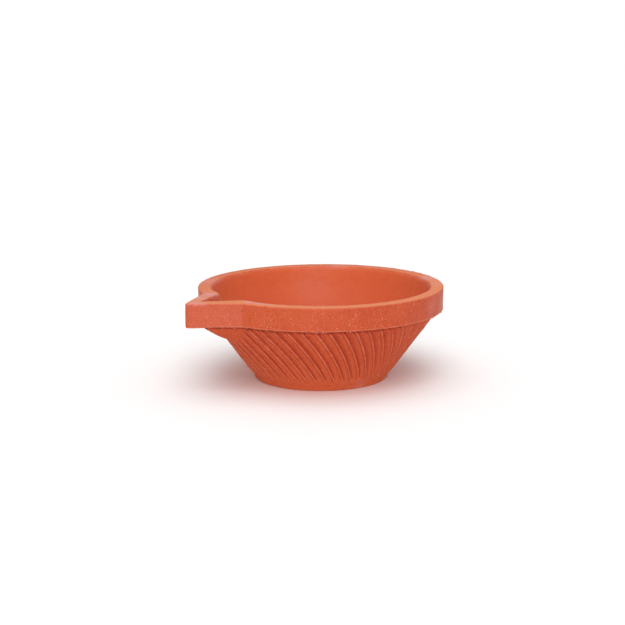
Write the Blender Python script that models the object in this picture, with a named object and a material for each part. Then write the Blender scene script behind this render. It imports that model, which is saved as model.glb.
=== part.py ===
"""A pressed clay oil lamp (diya) with a V spout, and the loose cotton wick that lies in it.

The lamp stands on its flat foot: +Z is up, the origin is the centre of the foot's underside, and the
spout points along -Y. Angles are measured from the spout, anticlockwise as seen from above.
"""

import bpy
import bmesh
from math import asin, atan2, cos, hypot, pi, radians, sin, sqrt, tan

# Overall sizes of the clay, in metres
HEIGHT = 0.0288
RIM_RADIUS = 0.038
BAND_HEIGHT = 0.0071
BASE_RADIUS = 0.0209
FOOT_RADIUS = 0.0214
FOOT_HEIGHT = 0.0014

# Walls
RIM_WALL = 0.0041
BAND_LEDGE = 0.0018
CONE_WALL = 0.0036
FLOOR_THICKNESS = 0.0040
BOWL_FILLET = 0.0090

# Spout: two flat walls that meet at a tip, with a V channel between them
SPOUT_REACH = 0.0117
SPOUT_HALF_ANGLE = radians(38.2)
TIP_WALL = 0.0054
CHANNEL_HALF_ANGLE = radians(29.5)
CHANNEL_END_TAPER = 0.0013
CHANNEL_WALL = 0.0039

# Keel: the wedge of clay that carries the spout. Its lower edge falls by slope * d - curve * d ** 2
KEEL_SETBACK = 0.0050
KEEL_SLOPE = 0.72
KEEL_CURVE = 14.9
KEEL_ROOT = 0.0100

# Flutes: twisted scoops around the cone, each with a thin raised ridge along one side
FLUTE_COUNT = 53
FLUTE_TWIST = radians(23.3)
FLUTE_START = radians(0.07)
FLUTE_DEPTH = 0.00045
FLUTE_RIDGE = 0.00020
FLUTE_FOOT_GAP = 0.0016
FLUTE_FADE = 0.0040
SCOOP_FLOOR = 0.20
SCOOP_EDGE_TOP = 0.61
SCOOP_EDGE_FOOT = 0.32

# Wick: it lies in the channel, over the edge of the channel's mouth and across the bowl's floor
WICK_RADIUS = 0.0018
WICK_END_RADIUS = 0.0007
WICK_TAPER = 0.0160
WICK_TIP_SETBACK = 0.0085
WICK_FAR_SETBACK = 0.0005
WICK_BEND = 0.0060
WICK_CLEARANCE = 0.0004

# Steps of the round shapes, and what a joined or cutting shape runs past the face it meets
ARC_STEPS = 84
BOWL_STEPS = 72
FILLET_STEPS = 6
CONE_ROWS = 8
KEEL_ROWS = 7
WICK_STEPS = 36
OVERLAP = 0.0010
ROOT_COVER = 0.0025

# Heights, radii and reaches that follow from the sizes above. A reach is measured along the spout.
BAND_UNDERSIDE = HEIGHT - BAND_HEIGHT
LIP_RADIUS = RIM_RADIUS - RIM_WALL
CONE_TOP_RADIUS = RIM_RADIUS - BAND_LEDGE
CONE_ANGLE = atan2(BAND_UNDERSIDE - FOOT_HEIGHT, CONE_TOP_RADIUS - FOOT_RADIUS)
KNEE_RADIUS = CONE_TOP_RADIUS - CONE_WALL / sin(CONE_ANGLE)
FILLET_HEIGHT = FLOOR_THICKNESS + BOWL_FILLET
FILLET_RADIUS = KNEE_RADIUS + ((FILLET_HEIGHT - BAND_UNDERSIDE) * cos(CONE_ANGLE) - BOWL_FILLET) / sin(CONE_ANGLE)
TIP_REACH = RIM_RADIUS + SPOUT_REACH
CHANNEL_REACH = TIP_REACH - TIP_WALL
CHANNEL_END_REACH = CHANNEL_REACH - CHANNEL_END_TAPER
KEEL_REACH = TIP_REACH - KEEL_SETBACK


def clear_scene():
    for old in list(bpy.data.objects):
        bpy.data.objects.remove(old, do_unlink=True)


def polar(angle, radius, height):
    """The point at an angle from the spout."""
    return (radius * sin(angle), -radius * cos(angle), height)


def corner_angle(radius, reach, half_angle):
    """The angle at which a flat wall of a V, whose tip is at its reach, meets a circle."""
    return asin(reach * sin(half_angle) / radius) - half_angle


def cone_radius(height):
    return CONE_TOP_RADIUS + (height - BAND_UNDERSIDE) / tan(CONE_ANGLE)


def bowl_radius(height):
    """The bowl's straight wall below its knee."""
    return KNEE_RADIUS + (height - BAND_UNDERSIDE) / tan(CONE_ANGLE)


def above_bowl(radius, offset):
    """Height, at a radius, of the curve that stays an offset away from the bowl's floor, fillet and wall."""
    run = radius - FILLET_RADIUS
    bend = BOWL_FILLET - offset
    if run <= 0:
        return FLOOR_THICKNESS + offset
    if run < bend * sin(CONE_ANGLE):
        return FILLET_HEIGHT - sqrt(bend**2 - run**2)
    return BAND_UNDERSIDE + (radius - KNEE_RADIUS) * tan(CONE_ANGLE) + offset / cos(CONE_ANGLE)


def keel_height(reach):
    inward = KEEL_REACH - reach
    return BAND_UNDERSIDE - KEEL_SLOPE * inward + KEEL_CURVE * inward**2


def channel_floor(reach):
    return keel_height(reach) + CHANNEL_WALL


def above_channel(reach, offset):
    """Height, at a reach, of the line that stays an offset away from both walls of the channel."""
    slope = KEEL_SLOPE - 2 * KEEL_CURVE * (KEEL_REACH - reach)
    return channel_floor(reach) + offset * sqrt(1 + (slope / sin(CHANNEL_HALF_ANGLE)) ** 2)


def reaches(start, wall_radius, height_at, cover):
    """Reaches from start inwards, evenly spaced, to where a curve is buried past a wall by its cover."""
    end = start
    while end > wall_radius(height_at(end)) - cover:
        end -= OVERLAP / 4
    return [start + (end - start) * i / KEEL_ROWS for i in range(KEEL_ROWS + 1)]


def scoop_edge(height):
    """Where in a flute's width its scoop ends: the scoop narrows towards the foot."""
    up = (height - FOOT_HEIGHT) / (BAND_UNDERSIDE - FOOT_HEIGHT)
    return SCOOP_EDGE_FOOT + (SCOOP_EDGE_TOP - SCOOP_EDGE_FOOT) * min(max(up, 0.0), 1.0)


def flute_strength(height):
    """0 on the plain foot, 1 where the flutes have their full depth."""
    return min(max((height - FOOT_HEIGHT - FLUTE_FOOT_GAP) / FLUTE_FADE, 0.0), 1.0)


def new_object(name, mesh):
    made = bpy.data.objects.new(name, mesh)
    bpy.context.scene.collection.objects.link(made)
    return made


def lofted(name, rings):
    """A closed solid through rings of points, from the lowest ring to the highest, with flat ends."""
    form = bmesh.new()
    rows = [[form.verts.new(place) for place in ring] for ring in rings]
    for lower, upper in zip(rows, rows[1:]):
        for i in range(len(lower)):
            after = (i + 1) % len(lower)
            form.faces.new((lower[i], lower[after], upper[after], upper[i]))
    form.faces.new(rows[0][::-1])
    form.faces.new(rows[-1])
    bmesh.ops.recalc_face_normals(form, faces=form.faces)
    mesh = bpy.data.meshes.new(name)
    form.to_mesh(mesh)
    form.free()
    return new_object(name, mesh)


def hidden(helper):
    helper.hide_render = True
    helper.display_type = "WIRE"
    return helper


def band():
    """The upright band and the spout, full height, as one outline."""
    corner = corner_angle(RIM_RADIUS, TIP_REACH, SPOUT_HALF_ANGLE)
    arc = [corner + (2 * pi - 2 * corner) * i / ARC_STEPS for i in range(ARC_STEPS + 1)]
    rings = []
    for height in (BAND_UNDERSIDE, HEIGHT):
        rings.append([polar(angle, RIM_RADIUS, height) for angle in arc] + [polar(0, TIP_REACH, height)])
    return lofted("clay_body", rings)


def fluted_ring(height):
    """One turn of the cone: for each flute its ridge, the scoop's floor and the scoop's far edge."""
    crest = cone_radius(height)
    strength = flute_strength(height)
    plateau = crest - FLUTE_RIDGE
    turn = FLUTE_START + FLUTE_TWIST * (BAND_UNDERSIDE - height) / BAND_UNDERSIDE
    marks = (
        (0.0, plateau + FLUTE_RIDGE * strength),
        (SCOOP_FLOOR, plateau - FLUTE_DEPTH * strength),
        (scoop_edge(height), plateau),
    )
    pitch = 2 * pi / FLUTE_COUNT
    return [polar(turn + pitch * (flute + phase), radius, height) for flute in range(FLUTE_COUNT) for phase, radius in marks]


def cone():
    """The fluted cone on its short plain foot, whose top runs up inside the band."""
    foot = [(0.0, BASE_RADIUS), (FOOT_HEIGHT, FOOT_RADIUS - FLUTE_RIDGE)]
    rings = []
    for height, radius in foot:
        rings.append([(x / hypot(x, y) * radius, y / hypot(x, y) * radius, height) for x, y, z in fluted_ring(height)])
    start = FOOT_HEIGHT + FLUTE_FOOT_GAP
    end = BAND_UNDERSIDE + OVERLAP
    rings += [fluted_ring(start + (end - start) * i / CONE_ROWS) for i in range(CONE_ROWS + 1)]
    return lofted("cone", rings)


def wedge(name, rows, root, half_angle):
    """A V-shaped solid from rows of (reach, height), whose back lies across the spout at the root."""
    rings = []
    for reach, height in rows:
        half_width = (reach - root) * tan(half_angle)
        rings.append([(half_width, -root, height), (0.0, -reach, height), (-half_width, -root, height)])
    return lofted(name, rings)


def keel():
    rows = [(reach, keel_height(reach)) for reach in reaches(KEEL_REACH, cone_radius, keel_height, ROOT_COVER)]
    buried = KEEL_REACH + OVERLAP
    rows.insert(0, (buried, keel_height(buried)))
    return wedge("keel", rows[::-1], KEEL_ROOT, SPOUT_HALF_ANGLE)


def channel():
    """The V channel: a floor that runs parallel to the keel's edge, and a steep end wall."""
    rows = [(reach, channel_floor(reach)) for reach in reaches(CHANNEL_END_REACH, bowl_radius, channel_floor, ROOT_COVER)]
    wall_height = HEIGHT - channel_floor(CHANNEL_END_REACH)
    past = CHANNEL_REACH + CHANNEL_END_TAPER * OVERLAP / wall_height
    rows.insert(0, (past, HEIGHT + OVERLAP))
    return wedge("channel", rows[::-1], 0.0, CHANNEL_HALF_ANGLE)


def bowl():
    """The round hollow: a flat floor, a fillet, the wall parallel to the cone, and the lip's steeper wall."""
    profile = [(FILLET_RADIUS, FLOOR_THICKNESS)]
    for i in range(1, FILLET_STEPS + 1):
        bend = CONE_ANGLE * i / FILLET_STEPS
        profile.append((FILLET_RADIUS + BOWL_FILLET * sin(bend), FILLET_HEIGHT - BOWL_FILLET * cos(bend)))
    profile.append((KNEE_RADIUS, BAND_UNDERSIDE))
    flare = (LIP_RADIUS - KNEE_RADIUS) / BAND_HEIGHT
    profile.append((LIP_RADIUS + flare * OVERLAP, HEIGHT + OVERLAP))
    turn = [2 * pi * i / BOWL_STEPS for i in range(BOWL_STEPS)]
    return lofted("bowl", [[polar(angle, radius, height) for angle in turn] for radius, height in profile])


def join(target, helper, operation):
    step = target.modifiers.new(helper.name, "BOOLEAN")
    step.operation = operation
    step.object = hidden(helper)


def clay_body():
    clay = band()
    join(clay, cone(), "UNION")
    join(clay, keel(), "UNION")
    join(clay, bowl(), "DIFFERENCE")
    join(clay, channel(), "DIFFERENCE")
    return clay


def wick_radius(run, length):
    """Full in the middle and drawn out to thin ends."""
    near_end = min(run, length - run)
    part = min(near_end / WICK_TAPER, 1.0)
    return WICK_END_RADIUS + (WICK_RADIUS - WICK_END_RADIUS) * sin(part * pi / 2)


def wick_bed(x, reach, radius):
    """The height of the wick's centre where it rests in the channel or on the bowl."""
    height = above_bowl(hypot(x, reach), radius + WICK_CLEARANCE)
    if reach > FILLET_RADIUS:
        height = min(height, above_channel(reach, radius + WICK_CLEARANCE))
    return height


def wick_route():
    """Points from the spout's end to the far side of the floor, each with the wick's radius there."""
    start = CHANNEL_END_REACH - WICK_TIP_SETBACK
    end = WICK_FAR_SETBACK - FILLET_RADIUS
    points = []
    for i in range(WICK_STEPS + 1):
        reach = start + (end - start) * i / WICK_STEPS
        radius = wick_radius(start - reach, start - end)
        across = max(FILLET_RADIUS - reach, 0.0) / (FILLET_RADIUS - end)
        x = WICK_BEND * across**2
        points.append((x, reach, wick_bed(x, reach, radius), radius))
    return points


def wick():
    """A rolled spindle of cotton: a curve whose round section swells and thins along it."""
    line = bpy.data.curves.new("wick", "CURVE")
    line.dimensions = "3D"
    line.bevel_depth = WICK_RADIUS
    line.bevel_resolution = 2
    line.use_fill_caps = True
    route = wick_route()
    spline = line.splines.new("POLY")
    spline.points.add(len(route) - 1)
    for knot, (x, reach, height, radius) in zip(spline.points, route):
        knot.co = (x, -reach, height, 1)
        knot.radius = radius / WICK_RADIUS
    return new_object("wick", line)


def material(name, colour, roughness):
    made = bpy.data.materials.new(name)
    made.use_nodes = True
    shader = made.node_tree.nodes["Principled BSDF"]
    shader.inputs["Base Color"].default_value = (*colour, 1)
    shader.inputs["Roughness"].default_value = roughness
    shader.inputs["Metallic"].default_value = 0.0
    return made


def main():
    clear_scene()
    clay_body().data.materials.append(material("terracotta", (0.60, 0.13, 0.05), 0.85))
    wick().data.materials.append(material("cotton", (0.86, 0.83, 0.76), 0.95))


main()
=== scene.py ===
import random
from math import asin, atan2, copysign, cos, hypot, pi, radians, sin, sqrt, tan

import bmesh
import bpy
from mathutils import Matrix, Vector, noise


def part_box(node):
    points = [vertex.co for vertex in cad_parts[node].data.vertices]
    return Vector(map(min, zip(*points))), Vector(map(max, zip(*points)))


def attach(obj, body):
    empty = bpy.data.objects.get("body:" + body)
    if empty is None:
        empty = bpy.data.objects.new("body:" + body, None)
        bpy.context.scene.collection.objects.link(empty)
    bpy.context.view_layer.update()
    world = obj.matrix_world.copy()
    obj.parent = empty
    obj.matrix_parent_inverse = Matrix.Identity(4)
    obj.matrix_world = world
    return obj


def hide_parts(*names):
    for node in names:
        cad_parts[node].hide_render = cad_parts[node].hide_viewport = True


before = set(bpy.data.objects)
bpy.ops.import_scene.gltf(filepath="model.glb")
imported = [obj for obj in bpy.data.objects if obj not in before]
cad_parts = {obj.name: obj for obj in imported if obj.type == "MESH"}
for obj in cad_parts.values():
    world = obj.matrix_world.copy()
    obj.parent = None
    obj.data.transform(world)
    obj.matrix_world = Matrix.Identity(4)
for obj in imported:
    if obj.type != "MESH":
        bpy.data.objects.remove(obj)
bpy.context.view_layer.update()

# Lengths are in millimetres until a mesh is finished. Angles go round from the spout, which points
# along -Y, anticlockwise as seen from above.
toMetres = 0.001


def nodeBox(node):
    low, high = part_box(node)
    return low / toMetres, high / toMetres


def polar(angle, radius, height):
    return Vector((radius * sin(angle), -radius * cos(angle), height))


def angleOf(place):
    return atan2(place.x, -place.y)


def clamp(value, low=0.0, high=1.0):
    return min(max(value, low), high)


def mixed(first, second, part):
    return first + (second - first) * part


def fade(value, start, end):
    part = clamp((value - start) / (end - start))
    return part * part * (3 - 2 * part)


def softMax(first, second, width):  # the larger value, its corner rounded over about this width
    part = clamp(0.5 + 0.5 * (first - second) / width)
    return mixed(second, first, part) + width * part * (1 - part)


def softMin(first, second, width):
    return -softMax(-first, -second, width)


def ripple(place, size, octaves=3):  # about -1 to 1, with bumps of about this size
    return noise.fractal(Vector(place) / size, 1.0, 2.0, octaves, noise_basis="PERLIN_ORIGINAL")


class Wire:  # an output socket: arithmetic on it adds Math nodes
    def __init__(self, recipe, socket):
        self.recipe = recipe
        self.socket = socket

    def maths(self, operation, first, second):
        return self.recipe.node("Math", {"operation": operation}, {0: first, 1: second})

    def __add__(self, other):
        return self.maths("ADD", self, other)

    def __radd__(self, other):
        return self.maths("ADD", other, self)

    def __sub__(self, other):
        return self.maths("SUBTRACT", self, other)

    def __rsub__(self, other):
        return self.maths("SUBTRACT", other, self)

    def __mul__(self, other):
        return self.maths("MULTIPLY", self, other)

    def __rmul__(self, other):
        return self.maths("MULTIPLY", other, self)

    def between(self, low, high):  # 0 at low, 1 at high, eased
        limits = {"Value": self, "From Min": low, "From Max": high}
        return self.recipe.node("MapRange", {"interpolation_type": "SMOOTHSTEP"}, limits)


class Recipe:  # one material: its constants sit on the shader, its patterns are wired to it
    def __init__(self, name, **constants):
        self.material = bpy.data.materials.new(name)
        self.material.use_nodes = True
        self.tree = self.material.node_tree
        self.shader = self.tree.nodes["Principled BSDF"]
        for socket, value in constants.items():
            self.shader.inputs[socket.replace("_", " ")].default_value = value

    def feed(self, socket, value):
        if isinstance(value, Wire):
            self.tree.links.new(value.socket, socket)
        else:
            socket.default_value = value

    def node(self, kind, settings=None, sockets=None, output=0):
        made = self.tree.nodes.new("ShaderNode" + kind)
        for name, value in (settings or {}).items():
            setattr(made, name, value)
        for name, value in (sockets or {}).items():
            self.feed(made.inputs[name], value)
        return Wire(self, made.outputs[output])

    def attribute(self, name):
        return self.node("Attribute", {"attribute_name": name}, output="Fac")

    def millimetres(self, stretch=(1, 1, 1)):
        place = self.node("TexCoord", output="Object")
        scale = [along / toMetres for along in stretch]
        return self.node("Mapping", {}, {"Vector": place, "Scale": scale})

    def noise(self, place, scale, detail=2.0, rough=0.5):
        sockets = {"Vector": place, "Scale": scale, "Detail": detail, "Roughness": rough}
        return self.node("TexNoise", {}, sockets, "Fac")

    def mix(self, part, first, second):
        settings = {"data_type": "RGBA", "blend_type": "MIX", "clamp_factor": True}
        return self.node("Mix", settings, {0: part, 6: first, 7: second}, 2)

    def bump(self, height, strength, depth):
        sockets = {"Height": height, "Strength": strength, "Distance": depth * toMetres}
        return self.node("Bump", {}, sockets)

    def output(self, **wires):
        for socket, value in wires.items():
            self.feed(self.shader.inputs[socket.replace("_", " ")], value)
        return self.material


def linear(level):  # a level on screen, 0 to 255, as light
    part = level / 255
    return ((part + 0.055) / 1.055) ** 2.4 if part > 0.04045 else part / 12.92


def colour(*levels):
    return [linear(level) for level in levels] + [1]


def finished(name, form, body, material):
    mesh = bpy.data.meshes.new(name)
    form.to_mesh(mesh)
    form.free()
    mesh.transform(Matrix.Scale(toMetres, 4))
    mesh.materials.append(material)
    mesh.shade_smooth()
    piece = bpy.data.objects.new(name, mesh)
    bpy.context.scene.collection.objects.link(piece)
    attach(piece, body)
    print(f"{name}: {len(mesh.vertices)} points")
    return piece


# The clay's sizes are the design's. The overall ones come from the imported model.
clayLow, clayHigh = nodeBox("clay_body")
clay = {
    "height": clayHigh.z,
    "rimRadius": clayHigh.x,
    "tipReach": -clayLow.y,
    "bandHeight": 7.1,
    "baseRadius": 20.9,
    "footRadius": 21.4,
    "footHeight": 1.4,
    "rimWall": 4.1,
    "bandLedge": 1.8,
    "coneWall": 3.6,
    "floorThickness": 4.0,
    "bowlFillet": 9.0,
    "bowlKnee": 1.4,  # how far the bend behind the band's lower edge is eased
    "spoutAngle": radians(38.2),
    "tipWall": 5.4,
    "channelAngle": radians(29.5),
    "channelTaper": 1.3,
    "channelWall": 3.9,
    "keelSetback": 5.0,
    "keelSlope": 0.72,
    "keelCurve": 0.0149,
}
# Places across a flute run from 0 on its ridge to 1 on the next
flutes = {
    "count": 53,
    "columns": 14,
    "twist": radians(23.3),
    "start": radians(0.07),
    "waver": radians(0.08),
    "drift": radians(1.3),
    "driftFrom": radians(37),
    "depth": 0.58,
    "ridge": 0.26,
    "line": 0.2,  # depth of the scratch beside each ridge
    "lineHalf": 0.04,
    "flank": 0.15,
    "rise": 0.86,
    "edgeTop": 0.61,  # how far across the scoop reaches under the band
    "edgeFoot": 0.26,
    "edgeWaver": 0.04,
    "uneven": 0.45,
    "footGap": 1.4,
    "footWaver": 0.5,
    "fadeOut": 2.6,
    "ridgeFade": 0.7,
    "scoopSteps": (0, 0.22, 0.44, 0.64, 0.82, 1),
}
wear = {
    "footRound": 0.5,
    "shoulder": 0.35,
    "lipRound": 0.6,
    "channelLip": 0.07,
    "cornerRound": 0.5,
    "channelRound": 0.06,
    "channelSkew": radians(2),
    "tipRound": radians(0.35),
    "tipLean": 0.15,
    "tipSag": 0.3,
    "tipBlunt": 0.35,
    "coneInset": 0.1,  # makes room for the ridges
    "bandDraft": 0.1,
    "keelFade": 0.3,
    "outOfRound": 0.10,
    "dents": 0.06,
    "dentSizes": (9.0, 2.2),
    "flash": 0.2,
    "burr": 0.22,
    "lumps": 0.09,
    "gap": 0.8,  # depth of the gap under the band, which is also darkened with painted shadow
    "gapShade": 1.6,
    "gapFoot": 0.94,
    "gapSpan": 0.04,
    # pale wash on the band round the spout, partly dust and partly a painted sheen
    "spoutDustAndSheen": 0.09,
    # how much the painted rim highlight is dimmed at the back, where the rim is torn
    "backHighlightCut": 0.35,
}
# Pale patches, partly clay dust and partly a painted sheen: angle in degrees, radius, height, spread along
# the surface, strength
dustAndSheenPatches = [
    (-12, 37.0, 28.8, 3.8, 1.0),
    (16, 35.2, 28.9, 2.0, 0.9),
    (22, 34.8, 28.9, 2.3, 1.0),
    (28, 34.6, 28.9, 1.6, 0.7),
    (160, 36.4, 28.8, 4.6, 0.8),
    (142, 36.0, 28.8, 4.0, 0.4),
    (222, 36.0, 28.8, 4.5, 0.35),
    (-48, 36.0, 28.8, 8.0, 0.4),
    (112, 38.0, 25.0, 3.4, 0.15),
    (126, 38.0, 24.0, 3.0, 0.25),
    # a painted reflection of the bright surroundings on the bowl's inner back wall, not dust
    (238, 33.5, 22.0, 8.0, 0.08),
    (-28, 33.8, 27.2, 1.2, 0.7),
    (-22, 33.5, 26.0, 1.2, 0.4),
    (-17, 33.2, 24.8, 1.5, 0.5),
    (-13, 33.2, 26.4, 1.3, 0.55),
    (1, 46.0, 28.8, 3.0, 0.8),
    (-6, 42.0, 28.8, 3.0, 0.9),
    (85, 21.2, 0.5, 3.2, 0.25),
]

underside = clay["height"] - clay["bandHeight"]
lipRadius = clay["rimRadius"] - clay["rimWall"]
coneTop = clay["rimRadius"] - clay["bandLedge"]
wallAngle = atan2(underside - clay["footHeight"], coneTop - clay["footRadius"])
kneeRadius = coneTop - clay["coneWall"] / sin(wallAngle)
filletHeight = clay["floorThickness"] + clay["bowlFillet"]
filletTop = filletHeight - clay["bowlFillet"] * cos(wallAngle)
filletRadius = kneeRadius + (filletTop - underside) / tan(wallAngle)
filletRadius -= clay["bowlFillet"] * sin(wallAngle)
channelReach = clay["tipReach"] - clay["tipWall"]
channelEnd = channelReach - clay["channelTaper"]
keelReach = clay["tipReach"] - clay["keelSetback"]
columns = flutes["count"] * flutes["columns"]
step = 2 * pi / columns
pitch = 2 * pi / flutes["count"]


def veeRadius(angle, reach, halfAngle):  # from the axis to the flat walls of a V whose tip is a little blunt
    if abs(angle) > pi / 3 or reach <= 0:
        return 0.0
    blunt = wear["tipRound"]
    return reach * sin(halfAngle + blunt) / sin(hypot(angle, blunt) + halfAngle)


def inwardOf(drop):  # how far in from its outer end the keel's curved edge has fallen this much
    slope, curve = clay["keelSlope"], clay["keelCurve"]
    rest = slope**2 - 4 * curve * drop
    return (slope - sqrt(rest)) / (2 * curve) if rest > 0 else keelReach


def keelFall(inward):
    return clay["keelSlope"] * inward - clay["keelCurve"] * inward**2


channelFloorEnd = underside + clay["channelWall"] - keelFall(keelReach - channelEnd)


def channelAt(height):
    if height > channelFloorEnd:
        up = (height - channelFloorEnd) / (clay["height"] - channelFloorEnd)
        return mixed(channelEnd, channelReach, up)
    return keelReach - inwardOf(underside + clay["channelWall"] - height)


def bowlRadius(height):
    lower = kneeRadius + (height - underside) / tan(wallAngle)
    upper = kneeRadius + (height - underside) * (lipRadius - kneeRadius) / clay["bandHeight"]
    return softMin(lower, upper, clay["bowlKnee"])


def channelSide(angle):  # the channel was cut a little askew, so its two walls differ
    return clay["channelAngle"] - copysign(wear["channelSkew"], angle)


def innerRadius(angle, height):
    channel = veeRadius(angle, channelAt(height), channelSide(angle))
    return softMax(bowlRadius(height), channel, wear["channelRound"])


def lipSize(angle):  # the channel was cut after the rim was smoothed, so its edges are sharper
    corner = innerCorner(angle)
    away = fade(abs(angle), corner + radians(1), corner + radians(14))
    return mixed(wear["channelLip"], wear["lipRound"], away)


def tipSag(angle):  # the spout's underside hangs a little at its tip
    return wear["tipSag"] * fade(abs(angle), radians(8), radians(1))


def bandRadius(angle, height):
    up = (height - underside) / clay["bandHeight"]
    spout = veeRadius(angle, clay["tipReach"] - wear["tipLean"] * up, clay["spoutAngle"])
    wobble = wear["outOfRound"] * (cos(2 * angle - 0.7) + 0.5 * cos(3 * angle + 1.1))
    ring = clay["rimRadius"] + wobble - wear["bandDraft"] * (1 - up)
    return softMax(ring, spout, wear["cornerRound"])


def twistAt(height):
    return flutes["twist"] * (underside - height) / underside


def scoopEdge(height, flute):
    up = clamp((height - clay["footHeight"]) / (underside - clay["footHeight"]))
    waver = flutes["edgeWaver"] * ripple((flute * 7.3, 2.0, height), 4.0, 2)
    return mixed(flutes["edgeFoot"], flutes["edgeTop"], up) + waver


def columnPhase(place, edge):  # where each of a flute's columns lies across it
    flank, rise = flutes["flank"], flutes["rise"]
    scoop = [mixed(flank, edge, part) for part in flutes["scoopSteps"]]
    level = [mixed(edge, rise, 0.35), rise - 0.055, rise]
    return ([0, 0.05, 0.1] + scoop + level + [0.93, 0.97])[place]


# Gives the height over the cone, how much painted shade it gets deep in the hollow and in the scratch beside
# each ridge, and how far up a ridge it is
def fluteHeight(phase, edge, height, flute):
    start = clay["footHeight"] + flutes["footGap"] + flutes["footWaver"] * sin(flute * 2.4)
    ridgeStrength = fade(height, start, start + flutes["ridgeFade"])
    scoopStrength = fade(height, start, start + flutes["fadeOut"])
    uneven = 1 + flutes["uneven"] * ripple((flute * 3.1, 9.0, height * 0.6), 1.3, 3)
    ridge = flutes["ridge"] * uneven * ridgeStrength
    shallow = mixed(0.6, 1, fade(height, 3, 14))
    varied = 1 + 0.15 * sin(flute * 1.7)
    depth = flutes["depth"] * shallow * varied * scoopStrength
    line = fade(abs(phase - flutes["rise"]), flutes["lineHalf"], 0) * ridgeStrength
    if phase > flutes["rise"]:
        up = clamp((phase - flutes["rise"]) / (1 - flutes["rise"])) ** 1.5
        return ridge * up - flutes["line"] * line, line, up**2 * ridgeStrength
    if phase < flutes["flank"]:
        down = fade(phase, 0.0, flutes["flank"])
        return mixed(ridge, -depth, down), down * scoopStrength, (1 - down) ** 2 * ridgeStrength
    if phase < edge:
        part = (phase - flutes["flank"]) / (edge - flutes["flank"])
        wornAndLit = 0.3 * fade(part, 0.75, 1)
        return -depth * (1 - part**2.2), (1 - part) * scoopStrength, wornAndLit * scoopStrength
    return -flutes["line"] * line, line, 0.0


def snapped(angle, corner):  # columns near this corner slide so that one lies on it
    nearest = round(corner / step) * step
    away = abs(abs(angle) - abs(nearest))
    shift = (corner - nearest) * max(1 - away / (8 * step), 0)
    return angle + (shift if angle > 0 else -shift)


def conePlace(column, height):
    flute, place = divmod(column - round(flutes["start"] / step), flutes["columns"])
    edge = scoopEdge(height, flute)
    phase = columnPhase(place, edge)
    angle = flutes["start"] + pitch * (flute + phase)
    angle += twistAt(height) + flutes["drift"] * cos(3 * (angle - flutes["driftFrom"]))
    angle += flutes["waver"] * ripple((flute * 5.7, 4.0, height), 3.0, 2)
    angle = (angle + pi) % (2 * pi) - pi
    if abs(angle) < 4 * step:  # one column lies on the keel's edge at each height
        nearest = (angle / step + 0.5) % 1 - 0.5
        angle -= nearest * step * (1 - abs(angle) / (4 * step)) ** 0.5
    rise, hollowShade, ridge = fluteHeight(phase, edge, height, flute)
    fluted = coneTop + (height - underside) / tan(wallAngle) - wear["coneInset"] + rise
    keel = veeRadius(angle, keelReach - inwardOf(underside - height), clay["spoutAngle"])
    bare = 1 - clamp((keel - fluted + wear["keelFade"]) / (2 * wear["keelFade"]))
    return angle, softMax(fluted, keel, wear["cornerRound"]), hollowShade * bare, ridge * bare


def cornerOf(radius, reach, halfAngle):
    return asin(reach * sin(halfAngle) / radius) - halfAngle


outerCorner = cornerOf(clay["rimRadius"], clay["tipReach"], clay["spoutAngle"])


def innerCorner(angle):
    return cornerOf(lipRadius, channelReach, channelSide(angle))


# Noise along the rim is read at heights away from the clay, one for each use
def raggedness(angle):  # the thin flash that the press left along the band's lower edge
    fine = ripple(polar(angle, 38, 71), 1.5, 3)
    coarse = ripple(polar(angle, 38, 12), 7.0, 2)
    return clamp(fine * 1.5 + coarse * 0.6, -0.5, 1.0)


def tornAt(angle):  # the rim's outer edge is torn on the side away from the spout
    turned = angle % (2 * pi)
    return fade(turned, radians(150), radians(172)) * fade(turned, radians(250), radians(225))


def rimBurr(angle):
    return (0.25 + tornAt(angle)) * ripple(polar(angle, 38, 33), 1.8, 3)


def gapDepth(angle):  # the gap under the band closes towards the keel's tip
    return wear["gap"] * mixed(0.15, 1, fade(abs(angle), radians(3), radians(14)))


# The next four give a point's radius and height, and how much lighter its colour is there, partly wear
# and partly a painted highlight, from its part of the way along its zone


def footPlace(zone, part):
    size = wear["footRound"]
    if zone == "under":
        return part * (clay["baseRadius"] - size), 0.0, 0.0
    if zone == "footEdge":
        bend = part * pi / 2
        return clay["baseRadius"] - size + size * sin(bend), size - size * cos(bend), 0.35 * sin(2 * bend)
    height = mixed(size, clay["footHeight"], part)
    return mixed(clay["baseRadius"], clay["footRadius"] - wear["coneInset"], part), height, 0.0


def bandPlace(zone, part, angle):
    top = clay["height"]
    size = wear["shoulder"]
    if zone == "band":
        flash = wear["flash"] * max(raggedness(angle), 0) * fade(part, 0.10, 0)
        height = mixed(underside + 0.15 - tipSag(angle), top - size, part)
        blunt = wear["tipBlunt"] * fade(part, 0.09, 0) * fade(abs(angle), radians(6), 0)
        return bandRadius(angle, height) + flash - blunt, height, fade(part, 0.05, 0)
    bend = part * pi / 2
    burr = rimBurr(angle) * wear["burr"] * sin(bend)
    radius = bandRadius(angle, top) - size + size * cos(bend) + burr
    return radius, top - size + size * sin(bend) + burr * 0.4, 0.5 * sin(2 * bend) + abs(burr)


def innerPlace(zone, part, angle):
    top = clay["height"]
    size = lipSize(angle)
    if zone == "lip":
        bend = part * pi / 2
        lump = wear["lumps"] * ripple(polar(angle, 34, 50), 1.7, 3) * sin(2 * bend)
        radius = innerRadius(angle, top) + size - size * sin(bend) - lump
        return radius, top - size + size * cos(bend) + lump, 0.4
    height = mixed(top - size, filletTop, part)
    return innerRadius(angle, height), height, 0.0


def floorPlace(zone, part):
    if zone == "fillet":
        bend = mixed(wallAngle, 0, part)
        radius = filletRadius + clay["bowlFillet"] * sin(bend)
        return radius, filletHeight - clay["bowlFillet"] * cos(bend), 0.0
    return filletRadius * (1 - part), clay["floorThickness"], 0.0


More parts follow.
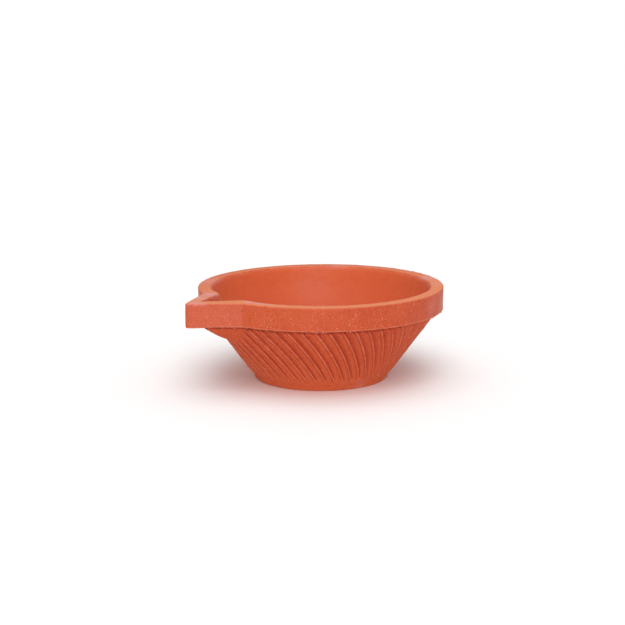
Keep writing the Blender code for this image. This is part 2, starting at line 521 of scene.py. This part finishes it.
def coneSkin(column, part):
    height = mixed(clay["footHeight"], underside, part)
    angle, radius, hollowShade, ridge = conePlace(column, height)
    gapFoot = wear["gapFoot"] - 0.02 * fade(abs(angle), outerCorner + step, outerCorner)
    gap = fade(part, gapFoot, gapFoot + wear["gapSpan"])
    place = polar(angle, radius - gapDepth(angle) * gap, height)
    # the gap under the band gets painted shadow over the flutes' painted shade
    return place, max(hollowShade, wear["gapShade"] * gap), ridge * (1 - gap)


def ledgeSkin(column, part, outer):  # the band's underside, from the cone out to its edge, with painted shade fading out towards the edge
    angle, radius, _, _ = conePlace(column, underside)
    ragged = raggedness(outer)
    edge = bandRadius(outer, underside) + wear["flash"] * max(ragged, 0)
    edge -= wear["tipBlunt"] * fade(abs(outer), radians(6), 0)
    shift = (outer - angle + pi) % (2 * pi) - pi
    height = underside - (tipSag(outer) + wear["flash"] * (0.9 * ragged + 0.1)) * part**2
    place = polar(angle + shift * part, mixed(radius - gapDepth(angle), edge, part), height)
    return place, wear["gapShade"] * (1 - part), part


def clayPoint(zone, part, column):  # (place, painted shade, lighter colour on ridges and edges)
    even = (column * step + pi) % (2 * pi) - pi
    outer = snapped(even, outerCorner)
    inner = snapped(even, innerCorner(even))
    if zone == "cone":
        return coneSkin(column, part)
    if zone == "ledge":
        return ledgeSkin(column, part, outer)
    if zone == "rim":
        edge = bandRadius(outer, clay["height"]) - wear["shoulder"]
        lip = innerRadius(inner, clay["height"]) + lipSize(inner)
        return polar(mixed(outer, inner, part), mixed(edge, lip, part), clay["height"]), 0.0, 0.0
    if zone in ("under", "footEdge", "foot"):
        angle = even + twistAt(clay["footHeight"])
        radius, height, ridge = footPlace(zone, part)
    elif zone in ("band", "shoulder"):
        angle = outer
        radius, height, ridge = bandPlace(zone, part, outer)
    elif zone in ("lip", "wall"):
        angle = inner
        radius, height, ridge = innerPlace(zone, part, inner)
    else:
        angle = mixed(inner, even, part if zone == "fillet" else 1)
        radius, height, ridge = floorPlace(zone, part)
    return polar(angle, radius, height), 0.0, ridge


# The section's rows of points, from the underside's middle round to the middle of the bowl's floor
clayRows = [
    ("under", 4),
    ("footEdge", 3),
    ("foot", 2),
    ("cone", 50),
    ("ledge", 3),
    ("band", 14),
    ("shoulder", 3),
    ("rim", 6),
    ("lip", 4),
    ("wall", 30),
    ("fillet", 7),
    ("floor", 6),
]
rowList = [(zone, index / count) for zone, count in clayRows for index in range(count)]
rowList.append(("floor", 1.0))
seedColumn = 60  # the section is first drawn here, clear of the spout
clayLayers = ("hollowShade", "ridge", "dustAndSheen", "rimHighlight", "pale", "smooth", "fluted")


def dents(place):  # hand-pressed clay is never quite true
    large, small = wear["dentSizes"]
    return wear["dents"] * (ripple(place, large, 2) + 0.35 * ripple(place, small, 2))


def dustAndSheenAt(place):
    dustAndSheen = 0.0
    for angle, radius, height, spread, strength in dustAndSheenPatches:
        away = (place - polar(radians(angle), radius, height)).length / spread
        if height >= clay["height"]:
            strength *= fade(place.z, height - 1.2, height - 0.3)
        if away < 1.6:
            dustAndSheen = max(dustAndSheen, strength * fade(away + 0.5 * ripple(place, 1.3, 3), 1.2, 0.2))
    return dustAndSheen


def claySkin(zone, part, place):  # (dust and painted sheen, painted rim highlight, painted fill light, smooth, fluted)
    angle = angleOf(place)
    # painted highlight on the rim's top and upper lip, stronger towards +x, the lit side, and dimmed at the
    # back
    bare = float(zone == "rim" or (zone == "lip" and part < 0.5))
    rimHighlight = bare * mixed(0.55, 1, fade(place.x, -30, 0))
    rimHighlight *= 1 - wear["backHighlightCut"] * tornAt(angle)
    inside = float(zone in ("wall", "fillet", "floor"))
    # painted fill light: the bowl's inside, more so towards the rim, and the outside near the foot are paler
    # to lift the shade there
    pale = mixed(0.5, 0.85, fade(place.z, 16, 27)) if inside else 0.95 * fade(place.z, 12, 1)
    dustAndSheen = dustAndSheenAt(place)
    if zone in ("band", "shoulder") and abs(angle) < outerCorner:
        dustAndSheen = max(dustAndSheen, wear["spoutDustAndSheen"])
    return dustAndSheen, rimHighlight, pale, inside, float(zone == "cone")


def spunClay():  # the section turned once round the axis, with a column of points for every step
    form = bmesh.new()
    rowLayer = form.verts.layers.int.new("row")
    section = []
    for row, (zone, part) in enumerate(rowList):
        place = clayPoint(zone, part, seedColumn)[0]
        point = form.verts.new((0, -hypot(place.x, place.y), place.z))
        point[rowLayer] = row
        section.append(point)
    edges = [form.edges.new(pair) for pair in zip(section, section[1:])]
    bmesh.ops.spin(
        form,
        geom=section + edges,
        axis=(0, 0, 1),
        cent=(0, 0, 0),
        angle=2 * pi,
        steps=flutes["count"],
        use_merge=True,
    )
    bmesh.ops.remove_doubles(form, verts=form.verts, dist=1e-4)
    around = [edge for edge in form.edges if edge.verts[0][rowLayer] == edge.verts[1][rowLayer]]
    bmesh.ops.subdivide_edges(form, edges=around, cuts=flutes["columns"] - 1)
    return form


def buildClay(material):
    form = spunClay()
    layers = [form.verts.layers.float.new(name) for name in clayLayers]
    rowLayer = form.verts.layers.int["row"]
    for point in form.verts:
        zone, part = rowList[point[rowLayer]]
        column = round(angleOf(point.co) / step) % columns
        place, hollowShade, ridge = clayPoint(zone, part, column)
        level = zone in ("floor", "rim")
        outward = Vector((0, 0, 1)) if level else polar(angleOf(place), 1.0, 0.0)
        if zone != "under":
            place += outward * dents(place)
        point.co = place
        for layer, value in zip(layers, (hollowShade, ridge, *claySkin(zone, part, place))):
            point[layer] = value
    bmesh.ops.triangulate(form, faces=form.faces, quad_method="SHORT_EDGE")
    bmesh.ops.recalc_face_normals(form, faces=form.faces)
    piece = finished("clayLamp", form, "clay", material)
    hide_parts("clay_body")


clayColours = {
    "deep": colour(187, 68, 28),
    "light": colour(194, 77, 35),
    # painted fill light for the shaded inside of the bowl and the foot
    "pale": colour(220, 104, 59),
    "mottled": colour(207, 86, 46),
    # painted highlight for the rim's top
    "rimHighlight": colour(228, 134, 82),
    # painted shade for the flutes' hollows, the scratches beside the ridges and the gap under the band
    "hollowShade": colour(166, 36, 12),
    # painted shadow: the dark line in the gap under the band's lower edge
    "gap": colour(104, 28, 12),
    "grain": colour(226, 132, 104),
    "sand": colour(158, 48, 22),
    # lighter colour on ridge crests and rounded edges: partly wear, partly a painted highlight
    "ridge": colour(228, 130, 96),
    # dust, and a painted sheen where the patches stand for reflection
    "dustAndSheen": colour(217, 146, 140),
    "speck": colour(230, 168, 138),
    "pit": colour(128, 44, 26),
}


def terracotta():
    clayMix = Recipe("terracotta", Specular_IOR_Level=0.28)
    hollowShade, ridge, dustAndSheen, rimHighlight, pale, smooth, fluted = [clayMix.attribute(name) for name in clayLayers]
    place = clayMix.millimetres()
    tone = clayMix.noise(place, 0.07, 2.0)
    mottle = clayMix.noise(place, 0.45, 4.0, 0.6)
    grain = clayMix.noise(place, 3.0, 3.0, 0.65)
    sand = clayMix.noise(clayMix.millimetres((1, 1, 0.8)), 2.7, 2.0, 0.6)
    fine = clayMix.noise(place, 9.0, 2.0)
    coarse = 1 - 0.75 * smooth
    specks = clayMix.noise(place, 2.3, 1.0).between(0.68, 0.76) * coarse
    pits = clayMix.noise(clayMix.millimetres((1, 1, 1.3)), 1.1, 1.0).between(0.275, 0.22) * coarse
    washes = [  # each colour goes over the ones before it
        # painted fill light inside the bowl and near the foot
        ("pale", pale),
        ("mottled", mottle.between(0.3, 0.7) * 0.4),
        # painted highlight on the rim's top and upper lip
        ("rimHighlight", rimHighlight * 0.9),
        # painted shade in the flutes' hollows and the scratches beside the ridges
        ("hollowShade", hollowShade * 0.62),
        # painted shadow in the gap under the band, where the shade value passes 1
        ("gap", (hollowShade - 1) * 1.4),
        ("grain", grain.between(0.5, 0.68) * 0.4 * coarse),
        ("sand", sand.between(0.47, 0.33) * 0.33 * coarse),
        # lighter ridge crests and edges, partly wear and partly a painted highlight
        ("ridge", ridge * (0.42 + mottle.between(0.35, 0.65) * 0.5)),
        # dust, partly a painted sheen
        ("dustAndSheen", dustAndSheen * (0.35 + 1.2 * grain)),
        ("speck", specks * 0.55),
        ("pit", pits * 0.6),
    ]
    body = clayMix.mix(tone.between(0.35, 0.65), clayColours["deep"], clayColours["light"])
    for name, strength in washes:
        body = clayMix.mix(strength, body, clayColours[name])
    rough = 0.47 + 0.12 * mottle + 0.2 * dustAndSheen + 0.24 * fluted
    height = grain * 0.6 * coarse + fine * 0.25 + mottle * 1.2 - pits * 1.2
    normal = clayMix.bump(height, 0.55, 0.11)
    return clayMix.output(Base_Color=body, Roughness=rough, Normal=normal)


clayFinish = terracotta()
buildClay(clayFinish)

crumbs = {
    "seed": 7,
    "edge": 60,
    "ridges": 40,
    "feet": 26,
    "channel": 14,
    "ear": 22,  # in the bowl, beside the channel's mouth
    "small": 0.11,
    "large": 0.26,
    "earSize": 1.5,
    "roughness": 0.08,
    "lift": 0.05,
    "pale": 0.9,
}


def crumbPlaces(draw):  # where crumbs of clay stuck while the lamp was pressed
    places = []
    for _ in range(crumbs["edge"]):
        angle = draw.uniform(-pi, pi)
        radius = bandRadius(angle, underside) - draw.uniform(0, 0.4)
        places.append(polar(angle, radius, underside - 0.1 - tipSag(angle)))
    for _ in range(crumbs["ridges"]):
        column = draw.randrange(columns)
        height = draw.uniform(4, underside - 1)
        angle, radius, _, _ = conePlace(column, height)
        places.append(polar(angle, radius, height))
    for _ in range(crumbs["feet"]):
        flute = draw.randrange(flutes["count"])
        height = draw.uniform(3.0, 4.2)
        column = flute * flutes["columns"] + round(flutes["start"] / step)
        angle, radius, _, _ = conePlace(column, height)
        places.append(polar(angle, radius, height))
    for _ in range(crumbs["channel"]):
        side = draw.choice((-1, 1)) * draw.uniform(0.7, 1.15)
        side *= innerCorner(side)
        height = clay["height"] - draw.uniform(0.2, 3.0)
        places.append(polar(side, innerRadius(side, height) + crumbs["lift"], height))
    for _ in range(crumbs["ear"]):
        side = radians(draw.uniform(-30, -11))
        height = clay["height"] - draw.uniform(0.3, 4.5)
        places.append(polar(side, innerRadius(side, height) + crumbs["lift"], height))
    return places


def buildCrumbs(material):
    draw = random.Random(crumbs["seed"])
    form = bmesh.new()
    dustAndSheen = form.verts.layers.float.new("dustAndSheen")
    places = crumbPlaces(draw)
    for count, place in enumerate(places):
        size = mixed(crumbs["small"], crumbs["large"], draw.random() ** 2)
        if count >= len(places) - crumbs["ear"]:
            size *= crumbs["earSize"]
        turn = Matrix.Rotation(draw.uniform(0, pi), 4, (draw.random(), draw.random(), draw.random() + 0.1))
        squashed = Matrix.Diagonal((1, draw.uniform(0.6, 0.9), draw.uniform(0.5, 0.8), 1))
        made = bmesh.ops.create_icosphere(
            form, subdivisions=2, radius=size, matrix=Matrix.Translation(place) @ turn @ squashed
        )
        for point in made["verts"]:
            nudge = Vector((draw.uniform(-1, 1), draw.uniform(-1, 1), draw.uniform(-1, 1)))
            point.co += nudge * size * crumbs["roughness"]
            point[dustAndSheen] = crumbs["pale"]
    bmesh.ops.recalc_face_normals(form, faces=form.faces)
    return finished("clayCrumbs", form, "clay", material)


buildCrumbs(clayFinish)

wick = {
    "tip": channelEnd - 8.5,
    "end": -(filletRadius - 0.5),
    "bend": 6.0,
    "clearance": 0.4,
    "radius": 1.8,
    "endRadius": 0.7,
    "taper": 16.0,
    "rings": 150,
    "sides": 36,
    "strands": 3,
    "strandDepth": 0.16,
    "turn": 9.0,  # length of one turn of the strands
    "fuzz": 0.05,
}


def aboveBowl(radius, offset):  # how high a line runs that keeps this far from the bowl's surface
    bend = clay["bowlFillet"] - offset
    out = radius - filletRadius
    if out <= 0:
        return clay["floorThickness"] + offset
    if out < bend * sin(wallAngle):
        return filletHeight - sqrt(bend**2 - out**2)
    return filletHeight - bend * cos(wallAngle) + (out - bend * sin(wallAngle)) * tan(wallAngle)


def aboveChannel(reach, offset):
    inward = keelReach - reach
    slope = clay["keelSlope"] - 2 * clay["keelCurve"] * inward
    lift = offset * sqrt(1 + (slope / sin(clay["channelAngle"])) ** 2)
    return underside + clay["channelWall"] - keelFall(inward) + lift


def wickLine(reach, radius):
    offset = radius + wick["clearance"]
    across = max(filletRadius - reach, 0) / (filletRadius - wick["end"])
    sideways = wick["bend"] * across**2
    height = aboveBowl(hypot(sideways, reach), offset)
    if reach > filletRadius:
        height = min(height, aboveChannel(reach, offset))
    return Vector((sideways, -reach, height))


def wickRadius(run, length):
    near = min(run, length - run) / wick["taper"]
    return mixed(wick["endRadius"], wick["radius"], sin(pi / 2 * clamp(near)))


def wickSpine():  # (centre, radius, length so far) for each ring
    parts = [ring / wick["rings"] for ring in range(wick["rings"] + 1)]
    reaches = [mixed(wick["tip"], wick["end"], part) for part in parts]
    line = [wickLine(reach, wick["radius"]) for reach in reaches]
    runs = [0.0]
    for first, second in zip(line, line[1:]):
        runs.append(runs[-1] + (second - first).length)
    radii = [wickRadius(run, runs[-1]) for run in runs]
    return [(wickLine(reach, radius), radius, run) for reach, radius, run in zip(reaches, radii, runs)]


def buildWick(material):
    spine = wickSpine()
    form = bmesh.new()
    uvLayer = form.loops.layers.uv.new("strand")
    ringLayer = form.verts.layers.int.new("ring")
    sideLayer = form.verts.layers.int.new("side")
    made = bmesh.ops.create_circle(form, cap_ends=False, segments=wick["sides"], radius=1)
    for side, point in enumerate(made["verts"]):
        point[sideLayer] = side
    edges = list(form.edges)
    for ring in range(1, len(spine)):
        grown = bmesh.ops.extrude_edge_only(form, edges=edges)["geom"]
        edges = [item for item in grown if isinstance(item, bmesh.types.BMEdge)]
        for point in grown:
            if isinstance(point, bmesh.types.BMVert):
                point[ringLayer] = ring
    for point in form.verts:
        ring = point[ringLayer]
        centre, radius, run = spine[ring]
        ahead = spine[min(ring + 1, len(spine) - 1)][0] - spine[max(ring - 1, 0)][0]
        sideways = ahead.cross(Vector((0, 0, 1))).normalized()
        upward = sideways.cross(ahead).normalized()
        angle = 2 * pi * point[sideLayer] / wick["sides"]
        lobe = abs(sin(wick["strands"] / 2 * (angle + 2 * pi * run / wick["turn"])))
        size = radius * (1 - wick["strandDepth"] * (1 - lobe) ** 2)
        place = centre + (sideways * cos(angle) + upward * sin(angle)) * size
        point.co = place + (place - centre).normalized() * wick["fuzz"] * ripple(place, 0.8, 2)
    bmesh.ops.holes_fill(form, edges=[edge for edge in form.edges if edge.is_boundary], sides=0)
    ends = [face for face in form.faces if len(face.verts) > 4]
    bmesh.ops.poke(form, faces=ends)
    bmesh.ops.recalc_face_normals(form, faces=form.faces)
    for face in form.faces:
        sides = [loop.vert[sideLayer] for loop in face.loops]
        for loop in face.loops:
            side = loop.vert[sideLayer]
            if max(sides) - min(sides) > wick["sides"] / 2 and side < wick["sides"] / 2:
                side += wick["sides"]
            loop[uvLayer].uv = (side / wick["sides"], spine[loop.vert[ringLayer]][2])
    piece = finished("cottonWick", form, "wick", material)
    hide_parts("wick")
    return spine


fray = {
    "seed": 11,
    "strands": 34,
    "length": 2.6,
    "thick": 0.05,
    "spread": 0.55,
    "joints": 5,
    "gather": 0.55,  # how far out of the wick's middle the strands start
    "rooted": 0.5,
    "curl": 0.12,
    "curlGrowth": 0.25,
}


def buildFray(spine, material):  # loose cotton at the wick's two ends
    draw = random.Random(fray["seed"])
    form = bmesh.new()
    for last, before in ((0, 6), (-1, -7)):
        centre, radius, _ = spine[last]
        ahead = (centre - spine[before][0]).normalized()
        for _ in range(fray["strands"]):
            sideways = Vector((draw.uniform(-1, 1), draw.uniform(-1, 1), draw.uniform(-1, 1)))
            sideways -= ahead * sideways.dot(ahead)
            start = centre + sideways * radius * fray["gather"] - ahead * fray["rooted"]
            length = fray["length"] * draw.uniform(0.3, 0.7)
            heading = (ahead + sideways * fray["spread"]).normalized()
            turn = heading.to_track_quat("Z", "Y").to_matrix().to_4x4()
            bmesh.ops.create_circle(
                form,
                cap_ends=False,
                segments=4,
                radius=fray["thick"],
                matrix=Matrix.Translation(start) @ turn,
            )
            edges = form.edges[-4:]
            curl = Vector((draw.uniform(-1, 1), draw.uniform(-1, 1), draw.uniform(-0.3, 0.4)))
            curl *= fray["curl"]
            for joint in range(fray["joints"]):
                grown = bmesh.ops.extrude_edge_only(form, edges=edges)["geom"]
                points = [item for item in grown if isinstance(item, bmesh.types.BMVert)]
                edges = [item for item in grown if isinstance(item, bmesh.types.BMEdge)]
                growth = heading * length / fray["joints"] + curl * joint * fray["curlGrowth"]
                bmesh.ops.translate(form, vec=growth, verts=points)
            bmesh.ops.contextual_create(form, geom=edges)
    openings = [edge for edge in form.edges if edge.is_boundary]
    bmesh.ops.holes_fill(form, edges=openings, sides=0)
    bmesh.ops.recalc_face_normals(form, faces=form.faces)
    return finished("wickFray", form, "wick", material)


cottonColours = {
    "thread": colour(214, 200, 172),
    "highlight": colour(243, 236, 220),
    "fluff": colour(250, 246, 236),
    "stain": colour(214, 190, 148),
}


def cotton():
    weave = Recipe("cotton", Roughness=0.95, Sheen_Weight=0.35, Sheen_Roughness=0.4, Specular_IOR_Level=0.2)
    around = weave.node("UVMap", {"uv_map": "strand"})
    threads = weave.node("Mapping", {}, {"Vector": around, "Scale": (26, 1.1, 1), "Rotation": (0, 0, 0.05)})
    fibre = weave.noise(threads, 1.6, 4.0, 0.65)
    place = weave.millimetres()
    fluff = weave.noise(place, 2.6, 4.0, 0.7)
    stain = weave.noise(place, 0.16, 2.0).between(0.45, 0.75)
    body = weave.mix(fibre.between(0.3, 0.7), cottonColours["thread"], cottonColours["highlight"])
    body = weave.mix(fluff.between(0.35, 0.75) * 0.5, body, cottonColours["fluff"])
    body = weave.mix(stain * 0.35, body, cottonColours["stain"])
    normal = weave.bump(fibre * 0.8 + fluff * 0.5, 0.6, 0.12)
    return weave.output(Base_Color=body, Normal=normal)


cottonFinish = cotton()
buildFray(buildWick(cottonFinish), cottonFinish)

stage = {"half": 3.0, "pale": (0.97, 0.97, 0.97, 1), "world": 0.56, "horizon": 1.0}


def layFloor():
    floorFinish = Recipe("paleFloor", Roughness=0.9, Base_Color=stage["pale"])
    form = bmesh.new()
    bmesh.ops.create_grid(form, x_segments=1, y_segments=1, size=stage["half"])
    mesh = bpy.data.meshes.new("floor")
    form.to_mesh(mesh)
    form.free()
    mesh.materials.append(floorFinish.material)
    floor = bpy.data.objects.new("floor", mesh)
    bpy.context.scene.collection.objects.link(floor)


layFloor()

world = bpy.data.worlds.new("studio")
bpy.context.scene.world = world
world.use_nodes = True
sky = world.node_tree.nodes["Background"]
sky.inputs["Color"].default_value = (1, 1, 1, 1)
seen = world.node_tree.nodes.new("ShaderNodeLightPath")
strength = world.node_tree.nodes.new("ShaderNodeMapRange")  # white where the camera looks past the floor
strength.inputs["To Min"].default_value = stage["world"]
strength.inputs["To Max"].default_value = stage["horizon"]
world.node_tree.links.new(seen.outputs["Is Camera Ray"], strength.inputs["Value"])
world.node_tree.links.new(strength.outputs["Result"], sky.inputs["Strength"])

# Camera angles go round as the clay's do. Distances are in metres.
view = {
    "angle": radians(52.1),
    "rise": radians(12.35),
    "distance": 0.4141,
    "aim": 0.01438,
    "lens": 76.26,
    "shift": (-0.0137, 0.0274),
    "roll": radians(-0.2),
}
lamps = {  # soft suns: where they shine from, how soft they are, how bright
    "low": {"angle": 52, "rise": 4, "soft": 20, "power": 0.57},
    "key": {"angle": 56, "rise": 50, "soft": 40, "power": 0.90},
    "top": {"angle": 40, "rise": 82, "soft": 60, "power": 0.92},
}
lampStand = {"distance": 0.5, "aim": 0.015}


def standAt(angle, rise, distance, aim):
    heading = Vector((sin(angle) * cos(rise), -cos(angle) * cos(rise), sin(rise)))
    return Vector((0, 0, aim)) + distance * heading


def aimed(thing, place, aim, roll=0.0):
    thing.location = place
    turn = (Vector((0, 0, aim)) - place).to_track_quat("-Z", "Y").to_matrix()
    thing.rotation_euler = (turn @ Matrix.Rotation(roll, 3, "Z")).to_euler()


camera = bpy.data.objects.new("camera", bpy.data.cameras.new("camera"))
camera.data.lens = view["lens"]
camera.data.sensor_width = 36
camera.data.shift_x, camera.data.shift_y = view["shift"]
camera.data.clip_start = 0.02
cameraPlace = standAt(view["angle"], view["rise"], view["distance"], view["aim"])
aimed(camera, cameraPlace, view["aim"], view["roll"])
bpy.context.scene.collection.objects.link(camera)
bpy.context.scene.camera = camera

for name, lamp in lamps.items():
    light = bpy.data.objects.new(name, bpy.data.lights.new(name, "SUN"))
    light.data.angle = radians(lamp["soft"])
    light.data.energy = lamp["power"]
    lampPlace = standAt(radians(lamp["angle"]), radians(lamp["rise"]), **lampStand)
    aimed(light, lampPlace, lampStand["aim"])
    bpy.context.scene.collection.objects.link(light)

bpy.context.scene.view_settings.view_transform = "Standard"
print("stage, lights and camera set")
